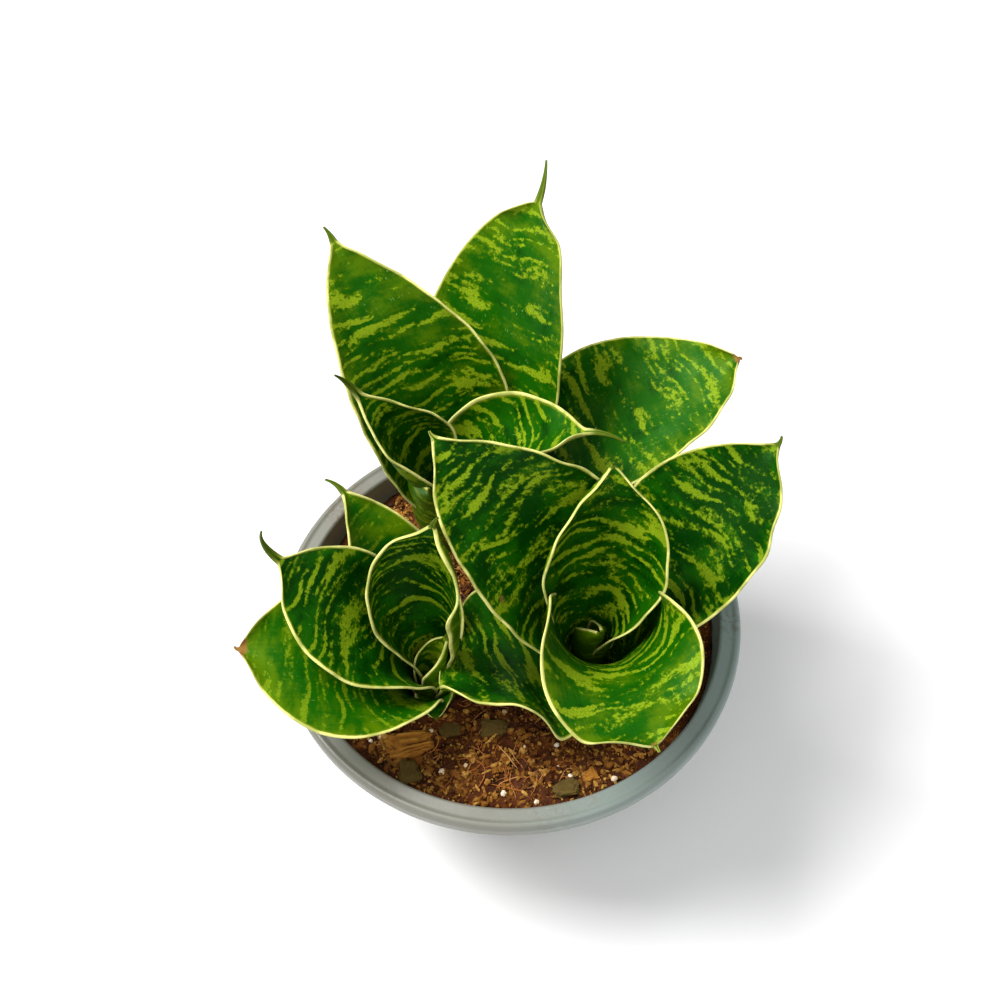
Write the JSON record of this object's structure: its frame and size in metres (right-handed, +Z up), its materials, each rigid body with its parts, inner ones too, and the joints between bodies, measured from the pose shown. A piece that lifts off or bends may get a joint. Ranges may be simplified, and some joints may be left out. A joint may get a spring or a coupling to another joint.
{
  "type": "potted snake plant",
  "caption": "Low round pot with a broad rim, holding a clump of short broad pointed leaves in funnel-shaped rosettes that rise from coarse potting mix. It stands on its flat base.",
  "frame": {"origin": "centre of the pot's flat base, on the surface it stands on", "axes": "+Z up out of the pot; -Y towards the viewer, the side on which the mix is bare; +X to the viewer's right"},
  "size_m": [0.161, 0.1741, 0.1728],
  "materials": {
    "pot_plastic": "grey-green moulded plastic, satin, with a light bead on the rim and a few dirt smudges",
    "potting_mix": "damp coir, bark and perlite, rough",
    "rhizome": "pale corky plant stem",
    "leaf": "waxy green leaf with paler cross bands and a cream-yellow margin",
    "bark": "broken bark, rough",
    "perlite": "pale expanded mineral grain, rough"
  },
  "bodies": {
    "root": {"pot": "pot_plastic", "rhizome": "rhizome", "potting_mix": "potting_mix", "main_heart_leaf": "leaf", "main_funnel_leaf": "leaf", "main_front_leaf": "leaf", "main_left_leaf": "leaf", "main_right_leaf": "leaf", "main_low_leaf": "leaf", "back_cup_leaf": "leaf", "back_arched_leaf": "leaf", "back_left_leaf": "leaf", "back_tall_leaf": "leaf", "back_right_leaf": "leaf", "back_outer_leaf": "leaf", "side_heart_leaf": "leaf", "side_cup_leaf": "leaf", "side_left_leaf": "leaf", "side_back_leaf": "leaf", "side_low_leaf": "leaf", "side_round_leaf": "leaf", "side_bud_leaf": "leaf", "bark_chip_1": "bark", "bark_chip_2": "bark", "bark_chip_3": "bark", "bark_chip_4": "bark", "bark_chip_5": "bark", "bark_chip_6": "bark", "bark_chip_7": "bark", "bark_chip_8": "bark", "perlite_1": "perlite", "perlite_2": "perlite", "perlite_3": "perlite", "perlite_4": "perlite", "perlite_5": "perlite", "perlite_6": "perlite", "perlite_7": "perlite"}
  },
  "joints": []
}
